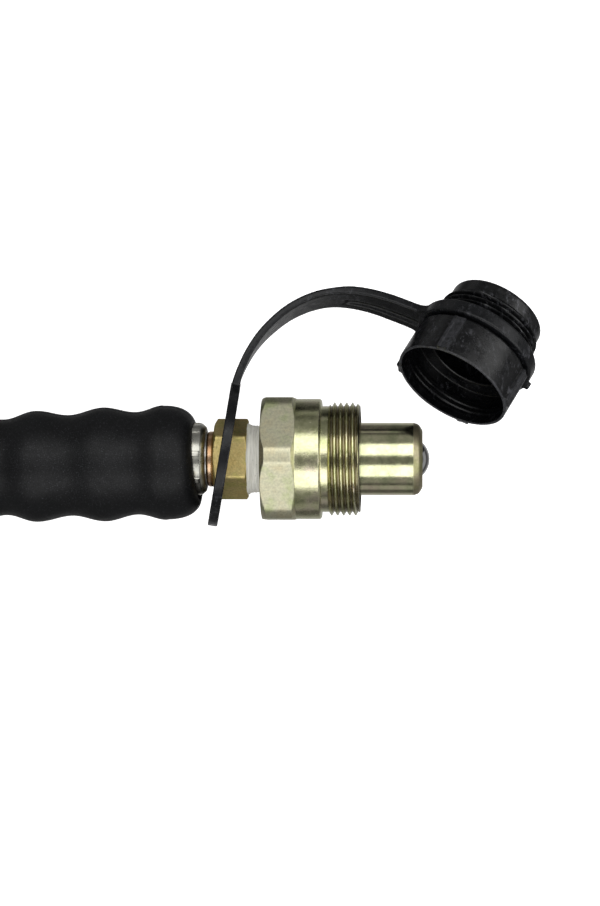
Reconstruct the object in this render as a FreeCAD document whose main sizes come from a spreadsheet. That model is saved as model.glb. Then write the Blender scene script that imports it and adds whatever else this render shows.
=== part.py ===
"""Probe half of a screw-together hydraulic coupler on a hose end, with its tethered dust cap.

The coupler's axis is X, +X towards the nose, and +Z is up. The origin lies on the axis, in the
plane of the coupling sleeve's front face. All sizes are millimetres. The driving dimensions are
in the spreadsheet "Sizes". Every turned piece is a body of its own that starts at x = 0 in its
own frame, at its rear end, and its Placement puts it on the coupler's axis.
"""
import FreeCAD, Part
import math
import os
import re

import Sketcher
from FreeCAD import Placement, Rotation, Vector

SIZES = {
    # coupling sleeve: hexagon, round collar, relief groove, outer thread
    "sleeve_length": 26.0,
    "sleeve_hex_flats": 32.0,
    "sleeve_hex_corners": 35.0,
    "sleeve_hex_length": 9.1,
    "sleeve_chamfer": 1.5,
    "chamfer_slope": 0.58,
    "collar_diameter": 31.9,
    "collar_chamfer": 0.6,
    "relief_diameter": 28.1,
    "relief_length": 1.9,
    "thread_diameter": 30.0,
    "thread_length": 8.3,
    "thread_chamfer": 0.5,
    "sleeve_bore": 25.2,
    "sleeve_lip_bore": 22.0,
    "sleeve_lip_length": 4.0,
    "bush_clip_setback": 0.5,
    "bush_clip_thickness": 1.2,
    "bush_clip_diameter": 26.4,
    "bush_clip_bore": 23.2,
    "bush_clip_slot": 2.2,
    "bush_rear_gap": 0.2,
    "thrust_ring_thickness": 1.85,
    "thrust_ring_gap": 0.05,
    # probe body
    "probe_diameter": 19.2,
    "probe_reach": 16.2,
    "nose_radius": 2.4,
    "shank_diameter": 19.8,
    "shank_setback": 0.9,
    "flange_diameter": 25.0,
    "flange_setback": 13.8,
    "flange_length": 6.2,
    "tail_diameter": 21.8,
    "tail_setback": 26.0,
    "valve_bore": 12.6,
    "retainer_bore": 14.6,
    "retainer_step_setback": 10.5,
    "taper_socket_setback": 16.5,
    "running_gap": 0.08,
    # check valve
    "ball_diameter": 12.0,
    "ball_proud": 1.9,
    "seat_gap": 0.15,
    "seat_seal_diameter": 13.8,
    "seat_seal_length": 1.4,
    "seat_seal_setback": 1.8,
    "retainer_diameter": 14.4,
    "retainer_thickness": 2.8,
    "retainer_boss": 7.6,
    "retainer_boss_height": 2.0,
    "retainer_hole": 2.4,
    "retainer_hole_circle": 11.0,
    "retainer_clip_thickness": 1.2,
    "retainer_clip_diameter": 15.8,
    "retainer_clip_bore": 12.6,
    "retainer_clip_slot": 1.5,
    "spring_diameter": 9.4,
    "spring_wire": 1.0,
    "spring_turns": 6.0,
    "spring_end_gap": 0.1,
    # small sealing ring between sleeve and probe body
    "oring_section": 1.56,
    "oring_circle": 20.4,
    "oring_groove_setback": 23.9,
    "oring_groove_width": 2.0,
    "oring_floor_gap": 0.02,
    # hexagon adaptor with its taper thread, and the tape on that thread
    "adaptor_setback": 38.6,
    "adaptor_hex_flats": 19.0,
    "adaptor_hex_corners": 21.5,
    "adaptor_hex_length": 9.1,
    "adaptor_chamfer": 1.0,
    "taper_diameter": 16.8,
    "taper_length": 12.5,
    "taper_per_length": 0.0625,
    "adaptor_bore": 7.2,
    "union_thread": 10.0,
    "union_depth": 8.0,
    "union_gap": 0.05,
    "tape_diameter": 17.3,
    "tape_front_diameter": 17.0,
    "tape_length": 3.3,
    # washer, hose insert and crimp ferrule
    "washer_diameter": 14.7,
    "washer_thickness": 2.0,
    "washer_edge": 0.4,
    "insert_setback": 66.0,
    "insert_front_setback": 31.5,
    "insert_bore": 5.2,
    "barb_length": 4.0,
    "barb_diameter": 9.4,
    "barb_tip": 0.9,
    "barb_root": 8.2,
    "insert_flange": 14.0,
    "insert_flange_length": 2.2,
    "lock_groove": 10.4,
    "lock_groove_length": 1.6,
    "lock_land": 11.8,
    "lock_land_length": 1.6,
    "ferrule_setback": 63.0,
    "ferrule_length": 22.1,
    "ferrule_diameter": 19.0,
    "ferrule_front_diameter": 18.0,
    "ferrule_taper": 1.6,
    "ferrule_bore": 16.4,
    "ferrule_lock_bore": 11.2,
    "ferrule_lock_setback": 3.3,
    "ferrule_flange_bore": 14.2,
    "ferrule_flange_depth": 2.0,
    "crimp_ridge_height": 0.25,
    "crimp_ridge_width": 1.2,
    "crimp_ridge_setback": 3.0,
    # ridged hand grip
    "grip_length": 113.0,
    "grip_bore": 16.0,
    "grip_ferrule_bore": 19.8,
    "grip_ferrule_depth": 24.5,
    "grip_front_diameter": 20.4,
    "grip_rear_diameter": 24.0,
    "grip_rear_chamfer": 1.5,
    "grip_front_setback": 42.6,
    "grip_pivot_setback": 40.0,
    "grip_yaw": 1.5,
    "grip_droop": 2.2,
    # dust cap, measured along its own axis from its mouth
    "cap_length": 26.6,
    "skirt_diameter": 31.5,
    "skirt_length": 11.5,
    "cap_thread_crest": 29.1,
    "cap_thread_root": 30.2,
    "cap_lead": 1.2,
    "cap_socket_depth": 9.6,
    "cap_probe_bore": 21.0,
    "cap_depth": 25.4,
    "cap_neck": 27.0,
    "cap_groove_length": 5.1,
    "cap_bead": 28.4,
    "cap_bead_length": 0.6,
    "cap_edge": 0.4,
    "plug_diameter": 26.4,
    "plug_chamfer": 1.1,
    "rib_width": 3.4,
    "rib_height": 0.9,
    "rib_mouth_gap": 0.5,
    "rib_ring_gap": 0.6,
    # tether: flat strap between two rings
    "strap_width": 10.0,
    "strap_thickness": 2.0,
    "strap_flare": 14.0,
    "strap_overlap": 1.0,
    "hinge_gap": 1.0,
    "adaptor_ring_diameter": 38.4,
    "adaptor_ring_bore": 27.0,
    "adaptor_ring_thickness": 2.3,
    "cap_ring_diameter": 33.4,
    "cap_ring_bore": 27.8,
    "cap_ring_thickness": 3.8,
}

SLEEVE_TURN = -3.0          # degrees: the sleeve's hexagon, from a corner straight up
ADAPTOR_TURN = -3.4         # degrees: the adaptor's hexagon, from a flat straight up
CRIMP_TURN = -8.0           # degrees: the first crimp ridge, from straight up
CRIMP_RIDGES = 8
RETAINER_HOLES = 6
BARBS = 4

# Grip outline: distance from the front end and radius of each rib's top and each valley's floor
GRIP_RIBS = [(9.0, 15.2), (25.7, 15.15), (43.8, 14.8), (61.2, 14.5), (78.6, 14.1), (96.0, 13.7)]
GRIP_VALLEYS = [(17.0, 13.55), (34.8, 13.35), (52.6, 12.7), (70.0, 12.6), (87.4, 12.4),
                (104.8, 12.2)]
# Where the rounded front edge and the last valley's arc end, with how far each arc bulges
GRIP_SHOULDER = (4.3, 14.2, -0.95)
GRIP_LAST = (107.8, 12.5, 0.45)

ADAPTOR_RING_CENTRE = Vector(-36.1, 1.2, 1.8)
ADAPTOR_RING_LEAN = 9.5     # degrees: the ring's strap side leans towards the nose
ADAPTOR_RING_TIP = 4.5      # degrees: the ring's upper side leans towards the nose
CAP_MOUTH = Vector(24.1, 19.1, 6.0)
CAP_AXIS = Vector(0.4655, 0.7597, -0.4540)          # from the mouth to the plug end
CAP_RIB_TURN = 48.0         # degrees: the first rib's place round the cap
CAP_RIBS = 4
STRAP_ENTRY = 10.0          # degrees: how far the strap's end climbs as it meets the cap ring

# Strap centre line between the two rings. The strap's bending hinge is at HINGE_POINT.
STRAP_RISE = [Vector(-31.5, 24.1, 1.2), Vector(-28.4, 29.8, 0.4), Vector(-24.4, 34.6, -0.6),
              Vector(-18.7, 39.2, -1.7), Vector(-12.0, 42.2, -2.9)]
HINGE_POINT = Vector(-5.0, 43.2, -3.9)
STRAP_FALL = [Vector(1.6, 42.4, -4.3), Vector(8.4, 40.3, -4.0)]
STRAP_TWISTS = [-4.5, -2.5, 1.0, 6.0, 11.0, 16.0, 20.0, 24.0, 27.0, 27.0]


doc = FreeCAD.newDocument("coupler")
sheet = doc.addObject("Spreadsheet::Sheet", "Sizes")
for row, (alias, size) in enumerate(SIZES.items(), start=1):
    sheet.set(f"A{row}", alias)
    sheet.set(f"B{row}", str(size))
    sheet.setAlias(f"B{row}", alias)
doc.recompute()

pieces = []


def bound(formula):
    """Write a formula over the size names as an expression over the spreadsheet's cells."""
    return re.sub(r"[a-z_]+", lambda word: "Sizes." + word.group() if word.group() in SIZES
                  else word.group(), formula)


def value(formula):
    """The number that a formula over the size names gives now."""
    return float(sheet.evalExpression(bound(formula)))


def finish(piece, label, placement):
    """Name a finished sub-part, put it in its place and list it for export."""
    piece.Label = label
    piece.Placement = placement
    pieces.append(piece)
    return piece


def along_axis(setback, turn=0.0):
    """Placement on the coupler's axis, setback behind the sleeve's front face."""
    return Placement(Vector(-value(setback), 0, 0), Rotation(Vector(1, 0, 0), turn))


def new_body(name):
    return doc.addObject("PartDesign::Body", name + "_body")


def new_sketch(body, name, role):
    """A sketch on one of the body's own origin planes."""
    sketch = body.newObject("Sketcher::SketchObject", name)
    plane = [feature for feature in body.Origin.OriginFeatures if feature.Role == role][0]
    sketch.AttachmentSupport = (plane, [""])
    sketch.MapMode = "FlatFace"
    return sketch


def pin_point(sketch, geometry, end, along, up):
    """Tie one point of a sketch to the sketch's origin by two formulas."""
    for axis, kind, formula in ((-2, "DistanceX", along), (-1, "DistanceY", up)):
        if value(formula) == 0.0:
            sketch.addConstraint(Sketcher.Constraint("PointOnObject", geometry, end, axis))
            continue
        index = sketch.addConstraint(
            Sketcher.Constraint(kind, -1, 1, geometry, end, value(formula)))
        sketch.setExpression(f"Constraints[{index}]", bound(formula))


def draw_outline(sketch, outline):
    """Draw a closed outline. A corner is (along, up); with a third entry, the edge that arrives
    there is an arc whose middle stands off its chord by that much, to the left if positive."""
    corners = [Vector(value(corner[0]), value(corner[1]), 0) for corner in outline]
    ends = []
    for index, corner in enumerate(outline):
        start, end = corners[index - 1], corners[index]
        if len(corner) == 2:
            edge = Part.LineSegment(start, end)
        else:
            chord = end - start
            left = Vector(-chord.y, chord.x, 0).normalize()
            edge = Part.Arc(start, start + chord * 0.5 + left * value(corner[2]), end)
        geometry = sketch.addGeometry(edge, False)
        if len(corner) == 3:
            sketch.addConstraint(
                Sketcher.Constraint("Radius", geometry, sketch.Geometry[geometry].Radius))
        clockwise = len(corner) == 3 and value(corner[2]) > 0
        ends.append((geometry, 2, 1) if clockwise else (geometry, 1, 2))
    for index, (geometry, first, last) in enumerate(ends):
        following, next_first, _ = ends[(index + 1) % len(ends)]
        sketch.addConstraint(
            Sketcher.Constraint("Coincident", geometry, last, following, next_first))
        pin_point(sketch, geometry, last, outline[index][0], outline[index][1])


def turn_body(name, outline):
    """A body turned about its own x axis from a half outline of (along, radius) corners."""
    body = new_body(name)
    sketch = new_sketch(body, name + "_outline", "XY_Plane")
    draw_outline(sketch, outline)
    revolution = body.newObject("PartDesign::Revolution", name + "_turning")
    revolution.Profile = sketch
    revolution.ReferenceAxis = (sketch, ["H_Axis"])
    revolution.Angle = 360.0
    doc.recompute()
    return body


def turned(label, setback, outline, turn=0.0):
    return finish(turn_body(label, outline), label, along_axis(setback, turn))


def mill_hexagon(body, name, flats, length):
    """Cut six flats, from the body's rear face forward, with corners at the top and bottom."""
    sketch = new_sketch(body, name + "_flats", "YZ_Plane")
    corner = value(flats) / math.sqrt(3)
    points = [Vector(corner * math.cos(math.radians(60 * k + 90)),
                     corner * math.sin(math.radians(60 * k + 90)), 0) for k in range(6)]
    for k in range(6):
        sketch.addGeometry(Part.LineSegment(points[k], points[(k + 1) % 6]), False)
    for k in range(6):
        sketch.addConstraint(Sketcher.Constraint("Coincident", k, 2, (k + 1) % 6, 1))
    for k in range(1, 6):
        sketch.addConstraint(Sketcher.Constraint("Equal", 0, k))
    around = sketch.addGeometry(Part.Circle(Vector(), Vector(0, 0, 1), corner), True)
    sketch.addConstraint(Sketcher.Constraint("Coincident", around, 3, -1, 1))
    for k in range(6):
        sketch.addConstraint(Sketcher.Constraint("PointOnObject", k, 1, around))
    sketch.addConstraint(Sketcher.Constraint("PointOnObject", 0, 1, -2))
    size = sketch.addConstraint(Sketcher.Constraint("Radius", around, corner))
    sketch.setExpression(f"Constraints[{size}]", bound(f"{flats} / sqrt(3)"))
    waste = sketch.addGeometry(Part.Circle(Vector(), Vector(0, 0, 1), 2 * corner), False)
    sketch.addConstraint(Sketcher.Constraint("Coincident", waste, 3, -1, 1))
    sketch.addConstraint(Sketcher.Constraint("Radius", waste, 2 * corner))
    before = body.Shape.Volume
    pocket = body.newObject("PartDesign::Pocket", name + "_hexagon")
    pocket.Profile = sketch
    pocket.Reversed = True
    pocket.setExpression("Length", bound(length))
    doc.recompute()
    if body.Shape.Volume >= before:
        raise RuntimeError(name + ": the flats cut nothing")


def polar(body, name, feature, count):
    """Repeat a feature evenly round the body's own x axis."""
    pattern = body.newObject("PartDesign::PolarPattern", name)
    pattern.Originals = [feature]
    axis = [item for item in body.Origin.OriginFeatures if item.Role == "X_Axis"][0]
    pattern.Axis = (axis, [""])
    pattern.Angle = 360.0
    pattern.Occurrences = count
    body.Tip = pattern
    doc.recompute()


def block(body, name, feature_type, low, high):
    """A pad or pocket with a rectangle profile, from corner low to corner high.

    The rectangle is drawn in the body's YZ plane and pushed along +x from low's x to high's."""
    sketch = new_sketch(body, name + "_profile", "YZ_Plane")
    draw_outline(sketch, [(low[1], low[2]), (high[1], low[2]),
                          (high[1], high[2]), (low[1], high[2])])
    sketch.setExpression(".AttachmentOffset.Base.z", bound(low[0]))
    feature = body.newObject("PartDesign::" + feature_type, name)
    feature.Profile = sketch
    feature.Reversed = feature_type == "Pocket"
    feature.setExpression("Length", bound(f"({high[0]}) - ({low[0]})"))
    doc.recompute()
    return feature


def split_ring(label, setback, outer, inner, thickness, half_slot):
    """A snap ring: a flat ring with a slot through it at the bottom."""
    body = turn_body(label, [("0", f"{inner} / 2"), (thickness, f"{inner} / 2"),
                             (thickness, f"{outer} / 2"), ("0", f"{outer} / 2")])
    block(body, label + "_slot", "Pocket", ("0", f"-({half_slot})", f"-({outer})"),
          (thickness, half_slot, "0"))
    return finish(body, label, along_axis(setback))


# ---------------------------------------------------------------- hose end, up to the union

def hand_grip():
    """Ridged rubber sleeve: ribs and valleys are arcs that meet half way up each slope."""
    def from_rear(distance):
        return f"grip_length - {distance}"

    stations = sorted(GRIP_RIBS + GRIP_VALLEYS)
    outline = [("0", "grip_bore / 2"),
               ("grip_length - grip_ferrule_depth", "grip_bore / 2"),
               ("grip_length - grip_ferrule_depth", "grip_ferrule_bore / 2"),
               ("grip_length", "grip_ferrule_bore / 2"),
               ("grip_length", "grip_front_diameter / 2"),
              (from_rear(GRIP_SHOULDER[0]), str(GRIP_SHOULDER[1]), str(GRIP_SHOULDER[2]))]
    reached = GRIP_SHOULDER
    for here, following in zip(stations, stations[1:]):
        middle = ((here[0] + following[0]) / 2, (here[1] + following[1]) / 2)
        bulge = (reached[1] + middle[1]) / 2 - here[1]
        outline.append((from_rear(middle[0]), str(middle[1]), str(round(bulge, 3))))
        reached = middle
    outline.append((from_rear(GRIP_LAST[0]), str(GRIP_LAST[1]), str(GRIP_LAST[2])))
    outline.append(("grip_rear_chamfer", "grip_rear_diameter / 2"))
    outline.append(("0", "grip_rear_diameter / 2 - grip_rear_chamfer"))
    body = turn_body("hand_grip", outline)
    yaw = Rotation(Vector(0, 0, 1), value("grip_yaw"))
    droop = Rotation(Vector(0, 1, 0), -value("grip_droop"))
    pivot = Vector(-value("grip_pivot_setback"), 0, 0)
    reach = value("grip_length + grip_front_setback - grip_pivot_setback")
    rear = pivot + (yaw * droop).multVec(Vector(-reach, 0, 0))
    return finish(body, "hand_grip", Placement(rear, yaw * droop))


def crimp_ferrule():
    """Steel shell crimped on the hose, with a narrow ridge left between each pair of jaws."""
    lock = "ferrule_length - ferrule_lock_setback"
    flange = "ferrule_length - ferrule_flange_depth"
    body = turn_body("crimp_ferrule", [
        ("0", "ferrule_bore / 2"), (lock, "ferrule_bore / 2"), (lock, "ferrule_lock_bore / 2"),
        (flange, "ferrule_lock_bore / 2"), (flange, "ferrule_flange_bore / 2"),
        ("ferrule_length", "ferrule_flange_bore / 2"),
        ("ferrule_length", "ferrule_front_diameter / 2"),
        ("ferrule_length - ferrule_taper", "ferrule_diameter / 2"),
        ("0", "ferrule_diameter / 2")])
    ridge = block(body, "crimp_ridge", "Pad",
                  ("crimp_ridge_setback", "-crimp_ridge_width / 2",
                   "ferrule_diameter / 2 - crimp_ridge_height"),
                  ("ferrule_length - ferrule_taper", "crimp_ridge_width / 2",
                   "ferrule_diameter / 2 + crimp_ridge_height"))
    polar(body, "crimp_ridges", ridge, CRIMP_RIDGES)
    return finish(body, "crimp_ferrule", along_axis("ferrule_setback", CRIMP_TURN))


def hose_insert():
    """Barbed stem inside the hose, lock groove for the ferrule, flange, union thread."""
    front = "insert_setback - insert_front_setback"
    flange_front = "insert_setback - adaptor_setback - washer_thickness"
    flange_rear = flange_front + " - insert_flange_length"
    groove_rear = flange_rear + " - lock_groove_length"
    land_rear = groove_rear + " - lock_land_length"
    outline = [("0", "insert_bore / 2"), (front, "insert_bore / 2"),
               (front, "union_thread / 2 - union_gap"),
               (flange_front, "union_thread / 2 - union_gap"),
               (flange_front, "insert_flange / 2"), (flange_rear, "insert_flange / 2"),
               (flange_rear, "lock_groove / 2"), (groove_rear, "lock_groove / 2"),
               (groove_rear, "lock_land / 2"), (land_rear, "lock_land / 2"),
               (land_rear, "barb_root / 2"), (f"barb_length * {BARBS}", "barb_root / 2")]
    for barb in reversed(range(BARBS)):
        outline.append((f"barb_length * {barb} + barb_tip", "barb_diameter / 2"))
        outline.append((f"barb_length * {barb}", "barb_root / 2"))
    return turned("hose_insert", "insert_setback", outline)


def copper_washer():
    return turned("copper_washer", "adaptor_setback + washer_thickness", [
        ("0", "union_thread / 2"), ("washer_thickness", "union_thread / 2"),
        ("washer_thickness", "washer_diameter / 2 - washer_edge"),
        ("washer_thickness - washer_edge", "washer_diameter / 2"),
        ("washer_edge", "washer_diameter / 2"),
        ("0", "washer_diameter / 2 - washer_edge")])


def hex_adaptor():
    """Small hexagon with the union's thread behind and the taper thread in front."""
    hex_end = "adaptor_hex_length"
    body = turn_body("hex_adaptor", [
        ("0", "union_thread / 2"), ("union_depth", "union_thread / 2"),
        ("union_depth", "adaptor_bore / 2"),
        ("adaptor_hex_length + taper_length", "adaptor_bore / 2"),
        ("adaptor_hex_length + taper_length",
         "(taper_diameter - taper_length * taper_per_length) / 2"),
        (hex_end, "taper_diameter / 2"),
        (hex_end, "adaptor_hex_corners / 2 - adaptor_chamfer"),
        ("adaptor_hex_length - adaptor_chamfer * chamfer_slope", "adaptor_hex_corners / 2"),
        ("adaptor_chamfer * chamfer_slope", "adaptor_hex_corners / 2"),
        ("0", "adaptor_hex_corners / 2 - adaptor_chamfer")])
    mill_hexagon(body, "adaptor", "adaptor_hex_flats", hex_end)
    return finish(body, "hex_adaptor", along_axis("adaptor_setback", 30.0 + ADAPTOR_TURN))


def seal_tape():
    """Turns of thread seal tape, showing between the adaptor's hexagon and the sleeve."""
    return turned("seal_tape", "adaptor_setback - adaptor_hex_length", [
        ("0", "taper_diameter / 2"),
        ("tape_length", "(taper_diameter - tape_length * taper_per_length) / 2"),
        ("tape_length", "tape_front_diameter / 2"), ("0", "tape_diameter / 2")])


# ---------------------------------------------------------------- probe body and its valve

def seat_radius(behind_tip):
    """Radius of the seat behind the tip: its corners lie on a sphere just larger than the ball."""
    sphere = value("ball_diameter / 2 + seat_gap")
    return math.sqrt(sphere ** 2 - value(f"ball_diameter / 2 - ball_proud - ({behind_tip})") ** 2)


def probe_body():
    """Round nose with the ball's seat, flange that the sleeve pulls on, tail with taper socket."""
    def station(setback):
        return f"tail_setback - ({setback})"

    nose = "tail_setback + probe_reach"
    socket_mouth = "(taper_diameter - (adaptor_setback - adaptor_hex_length - tail_setback)" \
                   " * taper_per_length) / 2"
    socket_end = "(taper_diameter - (adaptor_setback - adaptor_hex_length" \
                 " - taper_socket_setback) * taper_per_length) / 2"
    clip_rear = station("retainer_step_setback + retainer_thickness + retainer_clip_thickness")
    clip_front = station("retainer_step_setback + retainer_thickness")
    groove_rear = station("oring_groove_setback + oring_groove_width / 2")
    groove_front = station("oring_groove_setback - oring_groove_width / 2")
    groove_floor = "(oring_circle - oring_section) / 2 - oring_floor_gap"
    shank_front = station("shank_setback")
    return turned("probe_body", "tail_setback", [
        ("0", socket_mouth), (station("taper_socket_setback"), socket_end),
        (station("taper_socket_setback"), "retainer_bore / 2"),
        (clip_rear, "retainer_bore / 2"), (clip_rear, "retainer_clip_diameter / 2"),
        (clip_front, "retainer_clip_diameter / 2"), (clip_front, "retainer_bore / 2"),
        (station("retainer_step_setback"), "retainer_bore / 2"),
        (station("retainer_step_setback"), "valve_bore / 2"),
        (f"{nose} - seat_seal_setback - seat_seal_length", "valve_bore / 2"),
        (f"{nose} - seat_seal_setback - seat_seal_length", "seat_seal_diameter / 2"),
        (f"{nose} - seat_seal_setback", "seat_seal_diameter / 2"),
        (f"{nose} - seat_seal_setback", str(seat_radius("seat_seal_setback"))),
        (nose, str(seat_radius("0"))),
        (nose, "probe_diameter / 2 - nose_radius"),
        (f"{nose} - nose_radius", "probe_diameter / 2", "-nose_radius * (1 - sqrt(0.5))"),
        (shank_front, "probe_diameter / 2"), (shank_front, "shank_diameter / 2"),
        (station("flange_setback"), "shank_diameter / 2"),
        (station("flange_setback"), "flange_diameter / 2"),
        (station("flange_setback + flange_length"), "flange_diameter / 2"),
        (station("flange_setback + flange_length"), "tail_diameter / 2"),
        (groove_front, "tail_diameter / 2"), (groove_front, groove_floor),
        (groove_rear, groove_floor), (groove_rear, "tail_diameter / 2"),
        ("0", "tail_diameter / 2")])


def seat_seal():
    """Soft ring in the nose that the ball closes on."""
    rear = "seat_seal_setback + seat_seal_length"
    return turned("seat_seal", rear + " - probe_reach", [
        ("0", str(seat_radius(rear))),
        ("seat_seal_length", str(seat_radius("seat_seal_setback"))),
        ("seat_seal_length", "seat_seal_diameter / 2"), ("0", "seat_seal_diameter / 2")])


def check_ball():
    """Polished ball that stands proud of the nose."""
    ball = doc.addObject("Part::Sphere", "check_ball_sphere")
    ball.setExpression("Radius", bound("ball_diameter / 2"))
    centre = value("probe_reach + ball_proud - ball_diameter / 2")
    return finish(ball, "check_ball", Placement(Vector(centre, 0, 0), Rotation()))


def spring_retainer():
    """Perforated disc with a boss that centres the spring."""
    body = turn_body("spring_retainer", [
        ("0", "retainer_hole / 2"),
        ("retainer_thickness + retainer_boss_height", "retainer_hole / 2"),
        ("retainer_thickness + retainer_boss_height", "retainer_boss / 2"),
        ("retainer_thickness", "retainer_boss / 2"),
        ("retainer_thickness", "retainer_diameter / 2"), ("0", "retainer_diameter / 2")])
    sketch = new_sketch(body, "retainer_hole_profile", "YZ_Plane")
    centre, radius = Vector(0, value("retainer_hole_circle / 2"), 0), value("retainer_hole / 2")
    hole = sketch.addGeometry(Part.Circle(centre, Vector(0, 0, 1), radius), False)
    pin_point(sketch, hole, 3, "0", "retainer_hole_circle / 2")
    size = sketch.addConstraint(Sketcher.Constraint("Radius", hole, radius))
    sketch.setExpression(f"Constraints[{size}]", bound("retainer_hole / 2"))
    pocket = body.newObject("PartDesign::Pocket", "retainer_hole")
    pocket.Profile = sketch
    pocket.Reversed = True
    pocket.setExpression("Length", bound("retainer_thickness"))
    doc.recompute()
    polar(body, "retainer_holes", pocket, RETAINER_HOLES)
    return finish(body, "spring_retainer", along_axis("retainer_step_setback + retainer_thickness"))


def retainer_clip():
    return split_ring("retainer_clip",
                      "retainer_step_setback + retainer_thickness + retainer_clip_thickness",
                      "retainer_clip_diameter", "retainer_clip_bore", "retainer_clip_thickness",
                      "retainer_clip_slot")


def valve_spring():
    """Coil spring from the retainer to the ball."""
    radius = value("spring_diameter / 2")
    ball_centre = value("probe_reach + ball_proud - ball_diameter / 2")
    touch = math.sqrt(value("ball_diameter / 2") ** 2 - radius ** 2)
    rear = value("spring_wire / 2 + spring_end_gap - retainer_step_setback")
    front = ball_centre - touch - value("spring_wire + spring_end_gap")
    helix = Part.makeHelix((front - rear) / value("spring_turns"), front - rear, radius)
    section = Part.Circle(Vector(radius, 0, 0), Vector(0, 1, 0), value("spring_wire / 2"))
    wire = Part.Wire(section.toShape())
    spring = doc.addObject("Part::Feature", "valve_spring_coil")
    spring.Shape = Part.Wire(helix).makePipeShell([wire], True, True)
    return finish(spring, "valve_spring",
                  Placement(Vector(rear, 0, 0), Rotation(Vector(0, 0, 1), Vector(1, 0, 0))))


# ---------------------------------------------------------------- coupling sleeve

def coupling_sleeve():
    """Free-turning sleeve: a lip behind the probe body's flange pulls the probe in."""
    thread_rear = "sleeve_length - thread_length"
    clip_front = "sleeve_length - bush_clip_setback"
    clip_rear = "sleeve_length - bush_clip_setback - bush_clip_thickness"
    body = turn_body("coupling_sleeve", [
        ("0", "sleeve_lip_bore / 2"), ("sleeve_lip_length", "sleeve_lip_bore / 2"),
        ("sleeve_lip_length", "sleeve_bore / 2"), (clip_rear, "sleeve_bore / 2"),
        (clip_rear, "bush_clip_diameter / 2"), (clip_front, "bush_clip_diameter / 2"),
        (clip_front, "sleeve_bore / 2"), ("sleeve_length", "sleeve_bore / 2"),
        ("sleeve_length", "thread_diameter / 2 - thread_chamfer"),
        ("sleeve_length - thread_chamfer", "thread_diameter / 2"),
        (thread_rear, "thread_diameter / 2"), (thread_rear, "relief_diameter / 2"),
        (f"{thread_rear} - relief_length", "relief_diameter / 2"),
        (f"{thread_rear} - relief_length", "collar_diameter / 2 - collar_chamfer"),
        (f"{thread_rear} - relief_length - collar_chamfer", "collar_diameter / 2"),
        ("sleeve_hex_length", "collar_diameter / 2"),
        ("sleeve_hex_length - sleeve_chamfer * chamfer_slope", "sleeve_hex_corners / 2"),
        ("sleeve_chamfer * chamfer_slope", "sleeve_hex_corners / 2"),
        ("0", "sleeve_hex_corners / 2 - sleeve_chamfer")])
    mill_hexagon(body, "sleeve", "sleeve_hex_flats", "sleeve_hex_length")
    return finish(body, "coupling_sleeve", along_axis("sleeve_length", SLEEVE_TURN))


def guide_bush():
    """Bush pressed into the sleeve's bore, running on the probe body's shank."""
    rear = "flange_setback - bush_rear_gap"
    length = rear + " - bush_clip_setback - bush_clip_thickness"
    return turned("guide_bush", rear, [
        ("0", "shank_diameter / 2 + running_gap"), (length, "shank_diameter / 2 + running_gap"),
        (length, "sleeve_bore / 2"), ("0", "sleeve_bore / 2")])


def bush_clip():
    return split_ring("bush_clip", "bush_clip_setback + bush_clip_thickness",
                      "bush_clip_diameter", "bush_clip_bore", "bush_clip_thickness",
                      "bush_clip_slot")


def thrust_ring():
    """Bearing ring between the sleeve's lip and the probe body's flange."""
    inside = "tail_diameter / 2 + running_gap"
    outside = "sleeve_bore / 2 - thrust_ring_gap"
    return turned("thrust_ring", "sleeve_length - sleeve_lip_length - thrust_ring_gap", [
        ("0", inside), ("thrust_ring_thickness", inside),
        ("thrust_ring_thickness", outside), ("0", outside)])


def sleeve_oring():
    """Small round-section ring in the probe body's tail that keeps dirt out of the sleeve."""
    ring = doc.addObject("Part::Torus", "sleeve_oring_torus")
    ring.setExpression("Radius1", bound("oring_circle / 2"))
    ring.setExpression("Radius2", bound("oring_section / 2"))
    centre = Vector(-value("oring_groove_setback"), 0, 0)
    return finish(ring, "sleeve_oring", Placement(centre, Rotation(Vector(0, 1, 0), 90)))


# ---------------------------------------------------------------- dust cap and tether

def cap_rotation():
    """Turns the coupler's x axis onto the cap's axis, then the cap about it."""
    return Rotation(Vector(1, 0, 0), CAP_AXIS) * Rotation(Vector(1, 0, 0), CAP_RIB_TURN)


def dust_cap():
    """Cap: threaded socket for the sleeve, deeper bore for the probe, thread on its plug end."""
    bead_end = "skirt_length + cap_groove_length + cap_bead_length"
    body = turn_body("dust_cap", [
        ("0", "cap_thread_root / 2"), ("cap_lead", "cap_thread_root / 2"),
        ("cap_lead", "cap_thread_crest / 2"), ("cap_socket_depth", "cap_thread_crest / 2"),
        ("cap_socket_depth", "cap_probe_bore / 2"), ("cap_depth", "cap_probe_bore / 2"),
        ("cap_depth", "0"), ("cap_length", "0"),
        ("cap_length", "plug_diameter / 2 - plug_chamfer"),
        ("cap_length - plug_chamfer", "plug_diameter / 2"),
        (bead_end, "plug_diameter / 2"), (bead_end, "cap_bead / 2"),
        ("skirt_length + cap_groove_length", "cap_bead / 2"),
        ("skirt_length + cap_groove_length", "cap_neck / 2"),
        ("skirt_length", "cap_neck / 2"), ("skirt_length", "skirt_diameter / 2 - cap_edge"),
        ("skirt_length - cap_edge", "skirt_diameter / 2"), ("0", "skirt_diameter / 2")])
    rib = block(body, "grip_rib", "Pad",
                ("rib_mouth_gap", "-rib_width / 2", "skirt_diameter / 2 - cap_edge"),
                ("skirt_length - rib_ring_gap", "rib_width / 2",
                 "skirt_diameter / 2 + rib_height"))
    polar(body, "grip_ribs", rib, CAP_RIBS)
    return finish(body, "dust_cap", Placement(CAP_MOUTH, cap_rotation()))


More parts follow.
